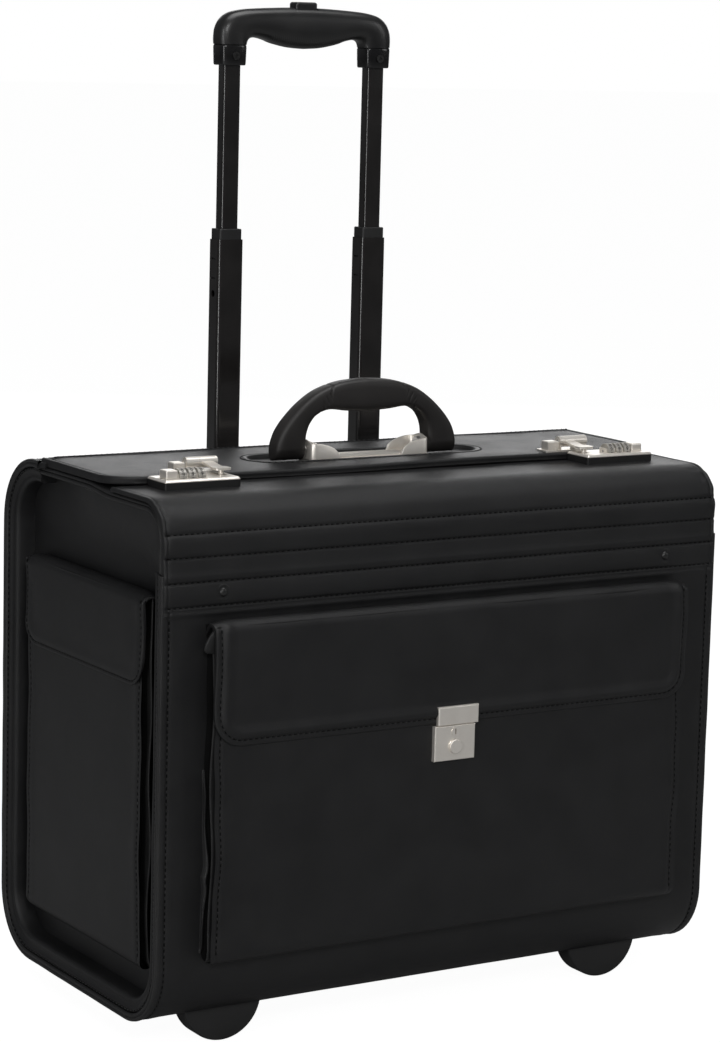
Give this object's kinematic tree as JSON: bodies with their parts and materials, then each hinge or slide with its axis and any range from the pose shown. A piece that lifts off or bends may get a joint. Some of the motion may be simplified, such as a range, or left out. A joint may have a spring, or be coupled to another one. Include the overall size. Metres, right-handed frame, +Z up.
{
  "type": "pilot rolling flight case",
  "caption": "Boxy wheeled flight case with hinged top lid, fold-down front flap, flap pockets, carry handle and telescopic trolley handle.",
  "frame": {"origin": "on the floor, under the middle of the bounding box", "axes": "+Z up, +X to the right seen from the front pocket, +Y towards the trolley tubes"},
  "size_m": [0.48, 0.2842, 0.748],
  "materials": {
    "leather": "fine-grained black synthetic leather, satin",
    "lining": "black woven lining on board",
    "board": "black-covered fibre board",
    "black_plastic": "matte moulded",
    "grip_plastic": "soft matte moulded",
    "tube_metal": "gloss black lacquer",
    "nickel": "satin nickel plate",
    "steel": "bright zinc",
    "dial_plastic": "light dials with dark numbers",
    "rivet_metal": "black lacquered",
    "tyre_rubber": "matte black",
    "foot_plastic": "fine matte moulded"
  },
  "bodies": {
    "case": {"outer_shell": "leather", "side_rim_left": "leather", "side_rim_right": "leather", "side_panel_left": "leather", "side_panel_right": "leather", "floor_board": "board", "back_lining": "lining", "fold_band": "leather", "band_rivets": "rivet_metal", "front_pocket": "leather", "side_pocket_left": "leather", "side_pocket_right": "leather", "pocket_lock_case": "nickel", "trolley_outer_tubes": "steel", "trolley_base_bracket": "black_plastic", "trolley_bezels": "black_plastic", "wheel_housing_left": "black_plastic", "wheel_housing_right": "black_plastic", "wheel_axles": "steel", "front_foot_left": "foot_plastic", "front_foot_right": "foot_plastic"},
    "lid": {"lid_panel": "leather", "lid_binding": "leather", "handle_plate": "nickel", "handle_pins": "steel", "hasp_bases": "nickel", "hasp_pins": "steel"},
    "front_flap": {"front_flap": "leather", "lock_bases": "black_plastic", "lock_plates": "nickel", "dial_axles": "steel"},
    "carry_handle": {"carry_handle": "black_plastic"},
    "hasp_left": {"hasp_left": "nickel"},
    "hasp_right": {"hasp_right": "nickel"},
    "lock_slider_left": {"lock_slider_left": "nickel"},
    "lock_slider_right": {"lock_slider_right": "nickel"},
    "pocket_flap": {"front_pocket_flap": "leather", "pocket_hasp_plate": "nickel"},
    "pocket_button": {"pocket_lock_button": "nickel"},
    "pocket_cylinder": {"pocket_lock_cylinder": "nickel"},
    "side_flap_left": {"side_pocket_flap_left": "leather"},
    "side_flap_right": {"side_pocket_flap_right": "leather"},
    "trolley_middle": {"trolley_middle_tubes": "tube_metal", "trolley_bushes": "black_plastic"},
    "trolley_upper": {"trolley_upper_tubes": "tube_metal", "grip": "grip_plastic", "grip_screws": "steel"},
    "grip_button": {"grip_button": "grip_plastic", "release_rods": "steel"},
    "wheel_left": {"wheel_hub_left": "black_plastic", "wheel_tyre_left": "tyre_rubber"},
    "wheel_right": {"wheel_hub_right": "black_plastic", "wheel_tyre_right": "tyre_rubber"},
    "dial_1_left": {"dial_1_left": "dial_plastic"},
    "dial_2_left": {"dial_2_left": "dial_plastic"},
    "dial_3_left": {"dial_3_left": "dial_plastic"},
    "dial_1_right": {"dial_1_right": "dial_plastic"},
    "dial_2_right": {"dial_2_right": "dial_plastic"},
    "dial_3_right": {"dial_3_right": "dial_plastic"}
  },
  "joints": [
    {"name": "lid_hinge", "type": "hinge", "parent": "case", "child": "lid", "pos_m": [0, 0.0781, 0.4065], "axis": [-1, 0, 0], "range_deg": [0, 58]},
    {"name": "front_flap_fold", "type": "hinge", "parent": "case", "child": "front_flap", "pos_m": [0, -0.1209, 0.3488], "axis": [1, 0, 0], "range_deg": [0, 73]},
    {"name": "carry_handle_pivot", "type": "hinge", "parent": "lid", "child": "carry_handle", "pos_m": [0, 0.0091, 0.416], "axis": [1, 0, 0], "range_deg": [-70, 70]},
    {"name": "front_pocket_flap_fold", "type": "hinge", "parent": "case", "child": "pocket_flap", "pos_m": [0, -0.1214, 0.321], "axis": [-1, 0, 0], "range_deg": [0, 78]},
    {"name": "pocket_button_push", "type": "slide", "parent": "case", "child": "pocket_button", "axis": [0, 1, 0], "range_m": [0, 0.0016], "stiffness_N_per_m": 400},
    {"name": "pocket_key_turn", "type": "hinge", "parent": "case", "child": "pocket_cylinder", "pos_m": [-0.0065, -0.1399, 0.224], "axis": [0, 1, 0], "range_deg": [0, 90]},
    {"name": "trolley_lower_stage", "type": "slide", "parent": "case", "child": "trolley_middle", "axis": [0, 0, 1], "range_m": [-0.165, 0]},
    {"name": "trolley_upper_stage", "type": "slide", "parent": "trolley_middle", "child": "trolley_upper", "axis": [0, 0, 1], "range_m": [-0.12, 0]},
    {"name": "grip_button_push", "type": "slide", "parent": "trolley_upper", "child": "grip_button", "axis": [0, 0, -1], "range_m": [0, 0.004], "stiffness_N_per_m": 400},
    {"name": "hasp_hinge_left", "type": "hinge", "parent": "lid", "child": "hasp_left", "pos_m": [-0.16, -0.0329, 0.4165], "axis": [-1, 0, 0], "range_deg": [0, 100]},
    {"name": "lock_slide_left", "type": "slide", "parent": "front_flap", "child": "lock_slider_left", "axis": [-1, 0, 0], "range_m": [0, 0.003], "stiffness_N_per_m": 300},
    {"name": "side_flap_fold_left", "type": "hinge", "parent": "case", "child": "side_flap_left", "pos_m": [-0.2225, 0.0066, 0.336], "axis": [0, 1, 0], "range_deg": [0, 80]},
    {"name": "wheel_spin_left", "type": "hinge", "parent": "case", "child": "wheel_left", "pos_m": [-0.186, 0.1111, 0.031], "axis": [1, 0, 0], "continuous": true},
    {"name": "dial_turn_1_left", "type": "hinge", "parent": "front_flap", "child": "dial_1_left", "pos_m": [-0.1945, -0.0599, 0.4112], "axis": [1, 0, 0], "continuous": true},
    {"name": "dial_turn_2_left", "type": "hinge", "parent": "front_flap", "child": "dial_2_left", "pos_m": [-0.187, -0.0599, 0.4112], "axis": [1, 0, 0], "continuous": true},
    {"name": "dial_turn_3_left", "type": "hinge", "parent": "front_flap", "child": "dial_3_left", "pos_m": [-0.1795, -0.0599, 0.4112], "axis": [1, 0, 0], "continuous": true},
    {"name": "hasp_hinge_right", "type": "hinge", "parent": "lid", "child": "hasp_right", "pos_m": [0.16, -0.0329, 0.4165], "axis": [-1, 0, 0], "range_deg": [0, 100]},
    {"name": "lock_slide_right", "type": "slide", "parent": "front_flap", "child": "lock_slider_right", "axis": [1, 0, 0], "range_m": [0, 0.003], "stiffness_N_per_m": 300},
    {"name": "side_flap_fold_right", "type": "hinge", "parent": "case", "child": "side_flap_right", "pos_m": [0.2225, 0.0066, 0.336], "axis": [0, -1, 0], "range_deg": [0, 80]},
    {"name": "wheel_spin_right", "type": "hinge", "parent": "case", "child": "wheel_right", "pos_m": [0.186, 0.1111, 0.031], "axis": [1, 0, 0], "continuous": true},
    {"name": "dial_turn_1_right", "type": "hinge", "parent": "front_flap", "child": "dial_1_right", "pos_m": [0.1945, -0.0599, 0.4112], "axis": [1, 0, 0], "continuous": true},
    {"name": "dial_turn_2_right", "type": "hinge", "parent": "front_flap", "child": "dial_2_right", "pos_m": [0.187, -0.0599, 0.4112], "axis": [1, 0, 0], "continuous": true},
    {"name": "dial_turn_3_right", "type": "hinge", "parent": "front_flap", "child": "dial_3_right", "pos_m": [0.1795, -0.0599, 0.4112], "axis": [1, 0, 0], "continuous": true}
  ],
  "couplings": [
    {"joint": "front_flap_fold", "follows": "lid_hinge", "ratio": 1.25}
  ]
}
